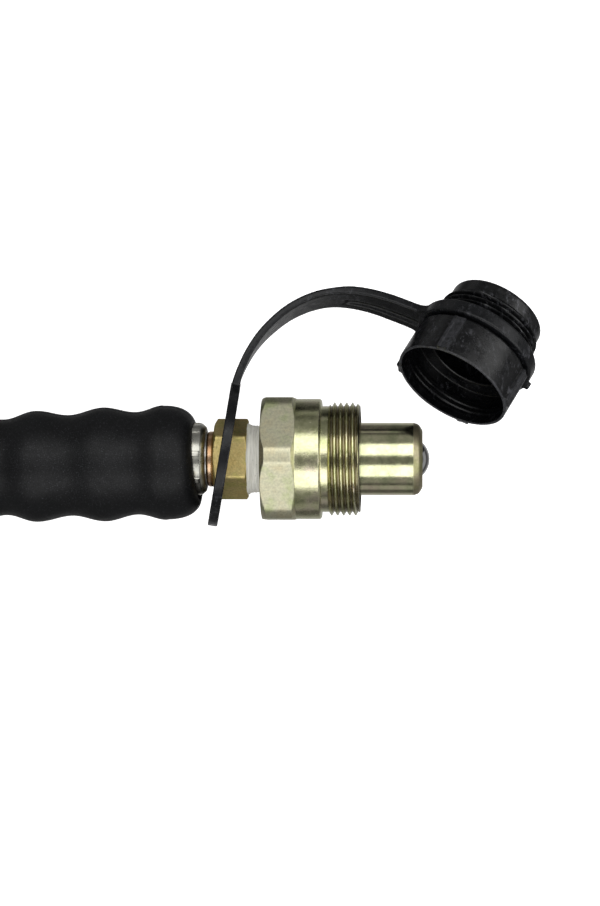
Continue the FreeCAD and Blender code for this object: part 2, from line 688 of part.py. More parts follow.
def flat_ring(centre, axis, diameter, bore, thickness):
    """A flat ring as a solid, centred on a point."""
    start = centre - axis * (thickness / 2)
    disc = Part.makeCylinder(diameter / 2, thickness, start, axis)
    return disc.cut(Part.makeCylinder(bore / 2, thickness, start, axis))


def strap_section(centre, along, twist, width, thickness):
    """Rectangle across the strap: its width stands along Z and leans outwards by the twist."""
    up = (Vector(0, 0, 1) - along * along.z).normalize()
    outwards = up.cross(along)
    wide = up * math.cos(math.radians(twist)) + outwards * math.sin(math.radians(twist))
    thick = wide.cross(along)
    corners = [centre + wide * (a * width / 2) + thick * (b * thickness / 2)
               for a, b in ((1, 1), (-1, 1), (-1, -1), (1, -1))]
    return Part.makePolygon(corners + corners[:1])


def adaptor_ring_radial():
    """Direction from the adaptor ring's centre to the strap."""
    lean = math.radians(ADAPTOR_RING_LEAN)
    return Vector(math.sin(lean), math.cos(lean), 0)


def adaptor_ring_axis():
    """The adaptor ring's own axis, square to the strap's direction."""
    radial = adaptor_ring_radial()
    tip = math.radians(ADAPTOR_RING_TIP)
    return radial.cross(Vector(0, 0, 1)) * math.cos(tip) - Vector(0, 0, math.sin(tip))


def cap_ring_centre():
    return CAP_MOUTH + CAP_AXIS * value("skirt_length + cap_groove_length / 2")


def strap_entry():
    """Direction in which the strap runs into the cap ring, in the ring's own plane."""
    level = Vector(0, 0, 1).cross(CAP_AXIS).normalize() * -1
    climb = CAP_AXIS.cross(level) * -1
    angle = math.radians(STRAP_ENTRY)
    return level * math.cos(angle) + climb * math.sin(angle)


def strap_route():
    """Centre line from inside the adaptor ring to inside the cap ring, with its directions."""
    start_reach = value("adaptor_ring_diameter / 2 - strap_overlap")
    start = ADAPTOR_RING_CENTRE + adaptor_ring_radial() * start_reach
    end = cap_ring_centre() - strap_entry() * value("cap_ring_diameter / 2 - strap_overlap")
    points = [start] + STRAP_RISE + [HINGE_POINT] + STRAP_FALL + [end]
    directions = [adaptor_ring_radial()]
    for before, after in zip(points, points[2:]):
        directions.append((after - before).normalize())
    directions.append(strap_entry())
    return points, directions


def strap_half(first, last, gap_at_start, gap_at_end):
    """Ruled strap between two stations of the route, trimmed at the hinge."""
    points, directions = strap_route()
    width, thickness = value("strap_width"), value("strap_thickness")
    sections = []
    for index in range(first, last + 1):
        centre = Vector(points[index])
        if gap_at_start and index == first:
            centre += directions[index] * value("hinge_gap / 2")
        if gap_at_end and index == last:
            centre -= directions[index] * value("hinge_gap / 2")
        flare = value("strap_flare") if index == len(points) - 1 else width
        sections.append(
            strap_section(centre, directions[index], STRAP_TWISTS[index], flare, thickness))
    return Part.makeLoft(sections, True, True)


def tether_ring_end():
    """Adaptor ring and the strap up to its bending hinge."""
    ring = flat_ring(ADAPTOR_RING_CENTRE, adaptor_ring_axis(), value("adaptor_ring_diameter"),
                     value("adaptor_ring_bore"), value("adaptor_ring_thickness"))
    strap = strap_half(0, 1 + len(STRAP_RISE), False, True)
    piece = doc.addObject("Part::Feature", "tether_ring_end_solid")
    piece.Shape = ring.fuse(strap).removeSplitter()
    return finish(piece, "tether_ring_end", Placement())


def tether_cap_end():
    """Strap from its bending hinge to the cap ring."""
    strap = strap_half(1 + len(STRAP_RISE), 2 + len(STRAP_RISE) + len(STRAP_FALL), True, False)
    ring = flat_ring(cap_ring_centre(), CAP_AXIS, value("cap_ring_diameter"),
                     value("cap_ring_bore"), value("cap_ring_thickness"))
    piece = doc.addObject("Part::Feature", "tether_cap_end_solid")
    piece.Shape = ring.fuse(strap).removeSplitter()
    return finish(piece, "tether_cap_end", Placement())


def check_document():
    """Stop if any object failed, or any sub-part has no valid solid."""
    doc.recompute()
    failed = [item.Label for item in doc.Objects if {"Invalid", "Error"} & set(item.State)]
    if failed:
        raise RuntimeError("failed: " + ", ".join(failed))
    for piece in pieces:
        if piece.Shape.isNull() or not piece.Shape.isValid() or not piece.Shape.Solids:
            raise RuntimeError(piece.Label + ": no valid solid")


CAP_AXIS.normalize()
for build in (hand_grip, crimp_ferrule, hose_insert, copper_washer, hex_adaptor, seal_tape,
              probe_body, seat_seal, check_ball, spring_retainer, retainer_clip, valve_spring,
              coupling_sleeve, guide_bush, bush_clip, thrust_ring, sleeve_oring,
              dust_cap, tether_ring_end, tether_cap_end):
    build()

check_document()
os.makedirs("parts", exist_ok=True)
for piece in pieces:
    piece.Shape.exportStep(f"parts/{piece.Label}.step")
    box = piece.Shape.BoundBox
    print(f"{piece.Label:18s} {piece.Shape.Volume:9.1f} mm3  x {box.XMin:7.1f} {box.XMax:6.1f}"
          f"  y {box.YMin:6.1f} {box.YMax:5.1f}  z {box.ZMin:6.1f} {box.ZMax:5.1f}")
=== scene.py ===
"""Looks of the hydraulic coupler half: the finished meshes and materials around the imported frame.

The frame is in metres. Shapes below are written in millimetres and scaled by MM. Most pieces are
turned ones: a ring of points for every station of a profile, about an axis, with hexagons, ribs
and threads as changes of radius around each ring.
"""
import math

import bmesh
import bpy
import numpy as np
from mathutils import Matrix, Vector


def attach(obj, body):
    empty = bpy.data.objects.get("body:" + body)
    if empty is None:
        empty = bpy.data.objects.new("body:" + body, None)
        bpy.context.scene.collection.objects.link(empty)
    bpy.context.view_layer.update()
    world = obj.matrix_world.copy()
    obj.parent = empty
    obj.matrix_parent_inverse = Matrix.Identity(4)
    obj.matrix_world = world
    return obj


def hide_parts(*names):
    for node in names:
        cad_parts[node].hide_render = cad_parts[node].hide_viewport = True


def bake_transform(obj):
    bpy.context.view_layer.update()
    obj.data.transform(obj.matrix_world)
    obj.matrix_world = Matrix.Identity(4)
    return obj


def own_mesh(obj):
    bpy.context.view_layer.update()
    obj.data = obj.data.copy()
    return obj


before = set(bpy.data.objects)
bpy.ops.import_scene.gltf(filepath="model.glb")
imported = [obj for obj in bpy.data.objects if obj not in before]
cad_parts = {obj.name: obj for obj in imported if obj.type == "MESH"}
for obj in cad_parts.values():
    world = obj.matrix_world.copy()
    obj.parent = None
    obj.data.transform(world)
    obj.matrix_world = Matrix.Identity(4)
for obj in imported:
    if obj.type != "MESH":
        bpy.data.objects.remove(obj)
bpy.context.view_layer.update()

MM = 0.001

# ------------------------------------------------------------------ sizes shared with the frame

FLOOR_Z = -31.0                 # just under the lowest place that the cap reaches
PROBE_RADIUS = 9.6
SLEEVE_LENGTH = 26.0
SLEEVE_TURN = -3.0              # degrees: the hexagon's first corner, from straight up
ADAPTOR_TURN = 26.6             # degrees: the adaptor's first corner, from straight up
CRIMP_TURN = -8.0               # degrees: the first crimp ridge, from straight up
THREAD_PITCH = 1.5875
THREAD_DEPTH = 1.0
BALL_RADIUS = 6.0
BALL_STATION = 12.3

# Where the pieces of the hose end start on the axis
FERRULE_REAR = -63.0
WASHER_REAR = -40.6
ADAPTOR_REAR = -38.6
TAPE_REAR = -29.5

GRIP_PIVOT = Vector((-40.0, 0.0, 0.0))
GRIP_SAG = Vector((0.0, -0.6, 0.0))
GRIP_YAW = math.radians(1.7)
GRIP_DROOP = math.radians(-2.2)
GRIP_RIBS = [(9.0, 15.2), (25.7, 15.15), (43.8, 14.8), (61.2, 14.5), (78.6, 14.1), (96.0, 13.7)]
GRIP_VALLEYS = [(17.0, 13.55), (34.8, 13.35), (52.6, 12.7), (70.0, 12.6), (87.4, 12.4),
                (104.8, 12.2)]
GRIP_LENGTH = 113.0
GRIP_SEAM = 102.0               # degrees: the mould's parting line, from straight up

CAP_MOUTH = Vector((24.1, 19.1, 6.0))
CAP_AXIS = Vector((0.4655, 0.7597, -0.4540)).normalized()
CAP_TURN = math.radians(48.0)
CAP_RING_STATION = 14.05        # the middle of the cap's groove, from its mouth
PLUG_PITCH = 1.5
PLUG_CREST = 18.5
PLUG_CREST_ANGLE = math.radians(-63.3)

ADAPTOR_RING = (19.2, 13.5, 2.6, 0.25)      # outer and inner radius, thickness, fillet
CAP_RING = (16.7, 13.9, 3.8, 0.4)
RING_CENTRE = Vector((-36.1, 1.2, 1.8))
RING_LEAN = math.radians(9.5)
RING_TIP = math.radians(4.5)
STRAP_ENTRY = math.radians(10.0)
STRAP_RISE = [(-31.5, 24.1, 1.2), (-28.4, 29.8, 0.4), (-24.4, 34.6, -0.6), (-18.7, 39.2, -1.7),
              (-12.0, 42.2, -2.9)]
STRAP_HINGE = (-5.0, 43.2, -3.9)
STRAP_HALF_WIDTH = 5.0
STRAP_FALL = [(1.6, 42.4, -4.3), (8.4, 40.3, -4.0)]
STRAP_TWISTS = [-4.5, -2.5, 1.0, 6.0, 11.0, 16.0, 20.0, 24.0, 27.0, 27.0]


# ------------------------------------------------------------------ mesh tools

def add_mesh(name, vertices, faces, body, material, sharp_degrees=32.0):
    """A finished mesh object in the row frame, smooth except at its sharp edges."""
    mesh = bpy.data.meshes.new(name)
    mesh.from_pydata([tuple(v) for v in vertices], [], faces)
    mesh.validate()
    shell = bmesh.new()
    shell.from_mesh(mesh)
    bmesh.ops.remove_doubles(shell, verts=shell.verts, dist=1e-7)
    bmesh.ops.recalc_face_normals(shell, faces=shell.faces)
    shell.to_mesh(mesh)
    shell.free()
    mesh.shade_smooth()
    mesh.set_sharp_from_angle(angle=math.radians(sharp_degrees))
    piece = bpy.data.objects.new(name, mesh)
    bpy.context.scene.collection.objects.link(piece)
    mesh.materials.append(material)
    if body:
        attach(piece, body)
    return piece


def rounded(corners):
    """Profile points from corners (along, radius, fillet): each fillet becomes a short arc.

    The corners go round a closed profile. A corner without a fillet stays sharp."""
    points = []
    count = len(corners)
    for index, corner in enumerate(corners):
        here = np.array(corner[:2], float)
        fillet = corner[2] if len(corner) > 2 else 0.0
        before = np.array(corners[index - 1][:2], float) - here
        after = np.array(corners[(index + 1) % count][:2], float) - here
        if fillet <= 0.0:
            points.append(here)
            continue
        before_length, after_length = np.linalg.norm(before), np.linalg.norm(after)
        before, after = before / before_length, after / after_length
        half = math.acos(max(-1.0, min(1.0, float(before @ after)))) / 2
        reach = min(fillet / math.tan(half), 0.48 * before_length, 0.48 * after_length)
        radius = reach * math.tan(half)
        middle = here + (before + after) / np.linalg.norm(before + after) * radius / math.sin(half)
        start, end = here + before * reach - middle, here + after * reach - middle
        turn = math.pi - 2 * half
        steps = max(2, int(math.degrees(turn) / 12))
        for step in range(steps + 1):
            share = step / steps
            spoke = (math.sin((1 - share) * turn) * start + math.sin(share * turn) * end)
            points.append(middle + spoke / math.sin(turn) if turn < 3.0 else middle + start)
    return points


def subdivided(points, longest):
    """An open run of profile points with none further apart than longest."""
    filled = []
    for here, following in zip(points, points[1:]):
        pieces = max(1, int(math.ceil(np.linalg.norm(following - here) / longest)))
        filled += [here + (following - here) * k / pieces for k in range(pieces)]
    return filled + [points[-1]]


def turned(name, profile, place, body, material, count=192, shape=None, sharp_degrees=32.0,
           angles=None):
    """A closed ring of profile points (along, radius) swept about the x axis of place.

    shape(along, radii, angles) may change each ring's radii, or its stations too. Angles are from
    +Z, turning right-handed about +X. Points on the axis close the piece."""
    if angles is None:
        angles = np.linspace(0.0, 2 * math.pi, count, endpoint=False)
    count = len(angles)
    vertices = []
    for along, radius in profile:
        radii = np.full(count, radius)
        stations = np.full(count, along)
        if shape is not None and radius > 0:
            stations, radii = shape(stations, radii, angles)
        vertices.append(np.stack([stations, -radii * np.sin(angles), radii * np.cos(angles)], 1))
    vertices = np.concatenate(vertices)
    faces = []
    rings = len(profile)
    for ring in range(rings):
        following = (ring + 1) % rings
        if profile[ring][1] == 0 and profile[following][1] == 0:
            continue
        for k in range(count):
            nxt = (k + 1) % count
            quad = (ring * count + k, ring * count + nxt, following * count + nxt,
                    following * count + k)
            if profile[ring][1] == 0:
                quad = (quad[0], quad[2], quad[3])
            elif profile[following][1] == 0:
                quad = (quad[0], quad[1], quad[2])
            faces.append(quad)
    world = [MM * (place @ Vector(v)) for v in vertices.tolist()]
    return add_mesh(name, world, faces, body, material, sharp_degrees)


def tube_faces(rings, around, closed=False):
    """Quads between rings of points. A closed tube's last ring joins its first; an open one's
    ends are capped."""
    faces = []
    for ring in range(rings if closed else rings - 1):
        following = (ring + 1) % rings
        for k in range(around):
            nxt = (k + 1) % around
            faces.append((ring * around + k, ring * around + nxt, following * around + nxt,
                          following * around + k))
    if not closed:
        faces.append(tuple(reversed(range(around))))
        faces.append(tuple((rings - 1) * around + k for k in range(around)))
    return faces


def softly_least(first, second, blend):
    """The smaller of two, with the corner between them eased over about blend."""
    gap = np.clip(0.5 + 0.5 * (second - first) / blend, 0.0, 1.0)
    return second * (1 - gap) + first * gap - blend * gap * (1 - gap)


def hexagon_limit(angles, flats, turn):
    """Radius of a hexagon's wall at each angle. At turn 0 a corner is at angle 0."""
    sector = math.pi / 3
    local = np.mod(angles - math.radians(turn), sector) - sector / 2
    return flats / 2 / np.cos(local)


def thread_wave(phase):
    """One thread's outline over a turn of phase: 0 at the crest, 1 at the root, flats on both."""
    ramp = np.abs(np.mod(phase, 1.0) - 0.5) * 2.0
    return np.clip((1.0 - ramp - 0.14) / 0.72, 0.0, 1.0)


def smooth_step(low, high, values):
    share = np.clip((values - low) / (high - low), 0.0, 1.0)
    return share * share * (3 - 2 * share)


def ripple(angles, along, scale, seed):
    """Small smooth unevenness from a few fixed waves, between about -1 and 1."""
    dice = np.random.default_rng(seed)
    total = np.zeros_like(angles)
    for _ in range(7):
        waves = dice.integers(1, 12)
        total += np.sin(angles * waves + along * dice.uniform(0.4, 1.6) * scale
                        + dice.uniform(0, 2 * math.pi))
    return total / 3.5


AXIS = Matrix.Identity(4)


def at(along):
    """Place on the coupler's axis with its origin at that station."""
    return Matrix.Translation((along, 0.0, 0.0))


# ------------------------------------------------------------------ materials

def new_material(name):
    material = bpy.data.materials.new(name)
    material.use_nodes = True
    nodes = material.node_tree.nodes
    shader = next(node for node in nodes if node.type == "BSDF_PRINCIPLED")
    return material, material.node_tree, shader


def add_node(tree, kind, inputs=None, **settings):
    node = tree.nodes.new(kind)
    for key, setting in settings.items():
        setattr(node, key, setting)
    for key, setting in (inputs or {}).items():
        if isinstance(setting, bpy.types.NodeSocket):
            tree.links.new(setting, node.inputs[key])
        else:
            node.inputs[key].default_value = setting
    return node


def noise(tree, scale, detail=4.0, roughness=0.55, stretch=(1.0, 1.0, 1.0), offset=0.0):
    """Noise over the piece's own metres, scale in features per metre."""
    place = add_node(tree, "ShaderNodeTexCoord")
    mapping = add_node(tree, "ShaderNodeMapping", {
        "Vector": place.outputs["Object"], "Scale": stretch, "Location": (offset, offset, offset)})
    return add_node(tree, "ShaderNodeTexNoise", {
        "Vector": mapping.outputs["Vector"], "Scale": scale, "Detail": detail,
        "Roughness": roughness}).outputs["Fac"]


def ramp(tree, factor, stops):
    """Colour ramp from (position, colour) stops; a colour may be one grey number."""
    node = add_node(tree, "ShaderNodeValToRGB", {"Fac": factor})
    elements = node.color_ramp.elements
    while len(elements) < len(stops):
        elements.new(0.5)
    for element, (position, colour) in zip(elements, stops):
        element.position = position
        grey = isinstance(colour, (int, float))
        element.color = (colour, colour, colour, 1.0) if grey else (*colour, 1.0)
    return node.outputs["Color"]


def mix(tree, factor, first, second, blend="MIX"):
    node = add_node(tree, "ShaderNodeMix", data_type="RGBA", blend_type=blend)
    for index, setting in ((0, factor), (6, first), (7, second)):
        if isinstance(setting, bpy.types.NodeSocket):
            tree.links.new(setting, node.inputs[index])
        elif isinstance(setting, (int, float)):
            node.inputs[index].default_value = setting
        else:
            node.inputs[index].default_value = (*setting, 1.0)
    return node.outputs[2]


def bump(tree, heights, shader):
    """Chain bumps: heights is a list of (height socket, strength, distance in metres)."""
    normal = None
    for height, strength, distance in heights:
        inputs = {"Height": height, "Strength": strength, "Distance": distance}
        if normal is not None:
            inputs["Normal"] = normal
        normal = add_node(tree, "ShaderNodeBump", inputs).outputs["Normal"]
    tree.links.new(normal, shader.inputs["Normal"])


def from_axis(tree):
    """Distance from the coupler's axis, in metres."""
    place = add_node(tree, "ShaderNodeTexCoord").outputs["Object"]
    across = add_node(tree, "ShaderNodeVectorMath", {0: place, 1: (0.0, 1.0, 1.0)},
                      operation="MULTIPLY").outputs["Vector"]
    return add_node(tree, "ShaderNodeVectorMath", {0: across}, operation="LENGTH").outputs["Value"]


def between(tree, distance, start, end):
    """0 at start millimetres and beyond, 1 at end millimetres and beyond."""
    return add_node(tree, "ShaderNodeMapRange", {
        "Value": distance, "From Min": start * MM, "From Max": end * MM}).outputs["Result"]


def plated_steel(name, light, dark, tint, roughness, grain=0.5, turned_lines=0.35, hollow_shade=None,
                 matte=None, duller=(0.5, 0.5, 0.5)):
    """Passivated plating over turned steel: cloudy tints, fine pits and faint turning lines.

    The argument after turned_lines is two radii and a place along x, in millimetres: there the colour
    is painted darker, as shade in the hollows, fully up to the first radius, gone at the second, and
    ahead of the place only. matte is two places along x: beyond the second the skin is dull, and
    coloured by duller."""
    material, tree, shader = new_material(name)
    cloud = noise(tree, 160.0, 3.0, 0.6)
    stain = noise(tree, 420.0, 5.0, 0.65, offset=3.1)
    base = ramp(tree, cloud, [(0.32, dark), (0.52, light), (0.72, tint)])
    fleck = ramp(tree, noise(tree, 2600.0, 3.0, 0.7, offset=7.7), [(0.28, 0.55), (0.42, 1.0)])
    shade = ramp(tree, stain, [(0.30, 0.86), (0.62, 1.0)])
    colour = mix(tree, 1.0, mix(tree, 1.0, base, shade, "MULTIPLY"), fleck, "MULTIPLY")
    place = add_node(tree, "ShaderNodeTexCoord").outputs["Object"]
    along = add_node(tree, "ShaderNodeSeparateXYZ", {"Vector": place}).outputs["X"]
    if hollow_shade:
        # Painted shade: near the axis, out to the first radius, the colour is darkened as if shaded.
        unshaded = add_node(tree, "ShaderNodeMath", {
            0: between(tree, from_axis(tree), *hollow_shade[:2]),
            1: between(tree, along, hollow_shade[2], hollow_shade[2] - 0.6)}, operation="MAXIMUM").outputs["Value"]
        colour = mix(tree, unshaded, (0.28, 0.25, 0.16), colour)
    rough = ramp(tree, stain, [(0.25, roughness * 0.8), (0.75, min(1.0, roughness * 1.35))])
    if matte:
        dull = between(tree, along, *matte)
        rough = mix(tree, dull, rough, (0.46, 0.46, 0.46))
        mottle = ramp(tree, noise(tree, 1500.0, 4.0, 0.75, offset=6.0), [(0.30, 0.72), (0.62, 1.0)])
        haze = ramp(tree, cloud, [(0.34, (0.84, 0.92, 0.72)), (0.50, (1.0, 1.0, 1.0)),
                                  (0.68, (1.0, 0.95, 0.88))])
        skin = mix(tree, 1.0, mix(tree, 1.0, mottle, duller, "MULTIPLY"), haze, "MULTIPLY")
        colour = mix(tree, dull, colour, skin)
    tree.links.new(colour, shader.inputs["Base Color"])
    shader.inputs["Metallic"].default_value = 1.0
    tree.links.new(rough, shader.inputs["Roughness"])
    lines = noise(tree, 1.0, 3.0, 0.7, stretch=(5200.0, 60.0, 60.0), offset=1.3)
    pits = noise(tree, 1400.0, 4.0, 0.6, offset=5.0)
    bump(tree, [(pits, min(grain, 1.0), 0.00004 * max(grain, 1.0)),
                (lines, turned_lines, 0.00002)], shader)
    return material


def cap_rim_highlight_and_wear(tree):
    """1 on the rim of the cap's mouth, its most worn place, whose lighter colour is partly wear and
    partly a painted highlight along the edge, and half on its ribs.
    """
    place = add_node(tree, "ShaderNodeTexCoord").outputs["Object"]
    offset = add_node(tree, "ShaderNodeVectorMath", {0: place, 1: CAP_MOUTH * MM},
                      operation="SUBTRACT").outputs["Vector"]
    along = add_node(tree, "ShaderNodeVectorMath", {0: offset, 1: CAP_AXIS},
                     operation="DOT_PRODUCT").outputs["Value"]
    across = add_node(tree, "ShaderNodeVectorMath", {0: offset, 1: CAP_AXIS},
                      operation="CROSS_PRODUCT").outputs["Vector"]
    radius = add_node(tree, "ShaderNodeVectorMath", {0: across}, operation="LENGTH").outputs["Value"]
    ribs = add_node(tree, "ShaderNodeMath", {0: between(tree, radius, 16.05, 16.5), 1: 0.5},
                    operation="MULTIPLY").outputs["Value"]
    # The rim's lighter colour is partly wear and partly a painted highlight along its edge.
    return add_node(tree, "ShaderNodeMath", {0: between(tree, along, 0.30, 0.10), 1: ribs},
                    operation="MAXIMUM").outputs["Value"]


def moulded_plastic(name, low, high, shine, worn=None):
    """Black moulded plastic: satin skin, dust and pale scuffs. worn(tree) adds rubbed places; on the
    cap's rim their lighter colour is also a painted highlight.
    """
    material, tree, shader = new_material(name)
    scuff = ramp(tree, noise(tree, 900.0, 6.0, 0.75, stretch=(1.0, 0.35, 1.0)),
                 [(0.54, 0.0), (0.66, 1.0)])
    patch = ramp(tree, noise(tree, 90.0, 3.0, 0.5, offset=2.0), [(0.42, 0.0), (0.62, 1.0)])
    wear_and_rim_highlight = mix(tree, 1.0, scuff, patch, "MULTIPLY")
    if worn:
        rubbed = ramp(tree, noise(tree, 1100.0, 5.0, 0.7, offset=5.5), [(0.36, 0.15), (0.60, 0.9)])
        wear_and_rim_highlight = mix(tree, 1.0, wear_and_rim_highlight, mix(tree, 1.0, rubbed, worn(tree), "MULTIPLY"), "LIGHTEN")
    base = ramp(tree, noise(tree, 240.0, 4.0, 0.6, offset=4.0), [(0.35, low), (0.70, high)])
    # Pale colour of scuffs and rubbed places; on the cap's rim it also paints a highlight.
    tree.links.new(mix(tree, wear_and_rim_highlight, base, (0.066, 0.067, 0.075)), shader.inputs["Base Color"])
    rough = ramp(tree, noise(tree, 500.0, 4.0, 0.6, offset=6.0), [(0.30, 0.18), (0.75, 0.40)])
    tree.links.new(rough, shader.inputs["Roughness"])
    shader.inputs["Specular IOR Level"].default_value = shine
    bump(tree, [(noise(tree, 700.0, 5.0, 0.6, offset=8.0), 0.45, 0.00010),
                (noise(tree, 5200.0, 3.0, 0.5, offset=9.0), 0.25, 0.00002)], shader)
    return material


def speckled_rubber():
    """Matte black rubber with a fine pale speckle."""
    material, tree, shader = new_material("grip_rubber")
    speck = ramp(tree, noise(tree, 3400.0, 2.0, 0.5), [(0.60, 0.0), (0.72, 1.0)])
    base = ramp(tree, noise(tree, 120.0, 4.0, 0.6, offset=2.0),
                [(0.30, (0.0012, 0.0014, 0.0018)), (0.75, (0.0034, 0.0037, 0.0043))])
    tree.links.new(mix(tree, speck, base, (0.030, 0.031, 0.035)), shader.inputs["Base Color"])
    rough = ramp(tree, noise(tree, 800.0, 4.0, 0.6, offset=5.0), [(0.30, 0.42), (0.75, 0.58)])
    tree.links.new(rough, shader.inputs["Roughness"])
    shader.inputs["Specular IOR Level"].default_value = 0.24
    bump(tree, [(noise(tree, 3000.0, 4.0, 0.6, offset=6.0), 0.55, 0.00006)], shader)
    return material


def thread_tape():
    """White thread seal tape: fine wraps, a few dark flecks and a faint painted glow that brightens it.
    """
    material, tree, shader = new_material("seal_tape")
    fleck = ramp(tree, noise(tree, 1500.0, 3.0, 0.7), [(0.27, 0.0), (0.33, 1.0)])
    base = ramp(tree, noise(tree, 1.0, 3.0, 0.6, stretch=(1800.0, 120.0, 120.0)),
                [(0.30, (0.52, 0.51, 0.46)), (0.62, (0.90, 0.89, 0.83))])
    tree.links.new(mix(tree, fleck, (0.20, 0.19, 0.17), base), shader.inputs["Base Color"])
    shader.inputs["Roughness"].default_value = 0.50
    # Painted light: the tape is given a faint glow of its own to look brighter.
    shader.inputs["Emission Color"].default_value = (1.0, 0.99, 0.95, 1.0)
    shader.inputs["Emission Strength"].default_value = 0.08
    shader.inputs["Subsurface Weight"].default_value = 0.15
    shader.inputs["Subsurface Radius"].default_value = (0.0008, 0.0008, 0.0008)
    bump(tree, [(noise(tree, 1.0, 4.0, 0.7, stretch=(3600.0, 200.0, 200.0), offset=4.0), 0.6,
                 0.00008)], shader)
    return material


def polished_ball():
    material, tree, shader = new_material("polished_ball")
    tree.links.new(ramp(tree, noise(tree, 500.0, 3.0, 0.5), [(0.3, 0.62), (0.7, 0.72)]),
                   shader.inputs["Base Color"])
    shader.inputs["Metallic"].default_value = 1.0
    tree.links.new(ramp(tree, noise(tree, 2200.0, 4.0, 0.6, offset=3.0), [(0.3, 0.05), (0.8, 0.16)]),
                   shader.inputs["Roughness"])
    return material


def seal_rubber():
    material, tree, shader = new_material("seal_rubber")
    tree.links.new(ramp(tree, noise(tree, 900.0), [(0.3, 0.012), (0.7, 0.028)]),
                   shader.inputs["Base Color"])
    shader.inputs["Roughness"].default_value = 0.5
    bump(tree, [(noise(tree, 2500.0, 3.0, 0.5, offset=2.0), 0.3, 0.00003)], shader)
    return material


MATERIALS = {
    # The sleeve's thread roots and bore, ahead of -8 mm, are painted darker as shade.
    "sleeve_steel": plated_steel("sleeve_steel", (0.71, 0.70, 0.44), (0.50, 0.52, 0.28),
                                 (0.77, 0.68, 0.52), 0.22, hollow_shade=(14.0, 14.8, -8.0),
                                 matte=(-16.8, -17.0), duller=(0.68, 0.66, 0.48)),
    "probe_steel": plated_steel("probe_steel", (0.80, 0.78, 0.50), (0.57, 0.60, 0.35),
                                (0.77, 0.66, 0.49), 0.16, grain=0.3, matte=(13.9, 14.2),
                                duller=(0.46, 0.41, 0.27)),
    "adaptor_gold": plated_steel("adaptor_gold", (0.80, 0.62, 0.31), (0.60, 0.54, 0.19),
                                 (0.90, 0.66, 0.38), 0.36, grain=3.0, matte=(-29.0, -29.1),
                                 duller=(0.67, 0.545, 0.235)),
    # The ferrule's front face and bore, within 8.9 mm of the axis, are painted darker as shade.
    "ferrule_steel": plated_steel("ferrule_steel", (0.58, 0.57, 0.51), (0.38, 0.38, 0.33),
                                  (0.64, 0.60, 0.42), 0.28, hollow_shade=(8.9, 9.36, -1000.0)),
    "insert_steel": plated_steel("insert_steel", (0.60, 0.60, 0.58), (0.50, 0.50, 0.48),
                                 (0.66, 0.65, 0.62), 0.32),
    "copper": plated_steel("copper", (0.66, 0.44, 0.27), (0.46, 0.27, 0.14),
                           (0.78, 0.56, 0.38), 0.26),
    "bush_bronze": plated_steel("bush_bronze", (0.50, 0.38, 0.18), (0.36, 0.27, 0.12),
                                (0.56, 0.44, 0.24), 0.34),
    "inner_steel": plated_steel("inner_steel", (0.50, 0.50, 0.50), (0.40, 0.40, 0.40),
                                (0.56, 0.56, 0.55), 0.35),
    "spring_steel": plated_steel("spring_steel", (0.42, 0.42, 0.43), (0.30, 0.30, 0.31),
                                 (0.50, 0.49, 0.47), 0.30),
    "cap_plastic": moulded_plastic("cap_plastic", (0.0008, 0.0009, 0.0012),
                                   (0.0026, 0.0028, 0.0034), 0.40, cap_rim_highlight_and_wear),
    "strap_plastic": moulded_plastic("strap_plastic", (0.0046, 0.0049, 0.0056),
                                     (0.0088, 0.0093, 0.0106), 0.25),
    "grip_rubber": speckled_rubber(),
    "ptfe": thread_tape(),
    "ball_steel": polished_ball(),
    "seal_rubber": seal_rubber(),
}


def stands_for(piece, slot, *nodes):
    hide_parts(*nodes)
    return piece


# ------------------------------------------------------------------ hose end

def grip_place():
    tilt = Matrix.Rotation(GRIP_YAW, 4, "Z") @ Matrix.Rotation(GRIP_DROOP, 4, "Y")
    return Matrix.Translation(GRIP_PIVOT + GRIP_SAG) @ tilt @ at(-2.6)


def grip_radius(distance):
    """Outer radius at a distance behind the grip's front end: soft ribs between narrow valleys."""
    stations = [(place, radius + 0.1) for place, radius in sorted(GRIP_RIBS + GRIP_VALLEYS)]
    places = [station[0] for station in stations]
    radii = [station[1] for station in stations]
    distance = np.asarray(distance, float)
    result = np.interp(distance, places, radii)
    for (low, low_radius), (high, high_radius) in zip(stations, stations[1:]):
        inside = (distance >= low) & (distance <= high)
        share = (distance[inside] - low) / (high - low)
        result[inside] = low_radius + (high_radius - low_radius) * (1 - np.cos(math.pi * share)) / 2
    front = distance < places[0]
    back = (places[0] - distance[front]) / places[0]
    drop = GRIP_RIBS[0][1] - 10.2
    result[front] = GRIP_RIBS[0][1] - drop * (1 - np.sqrt(np.clip(1 - back ** 2.4, 0, 1)))
    return result


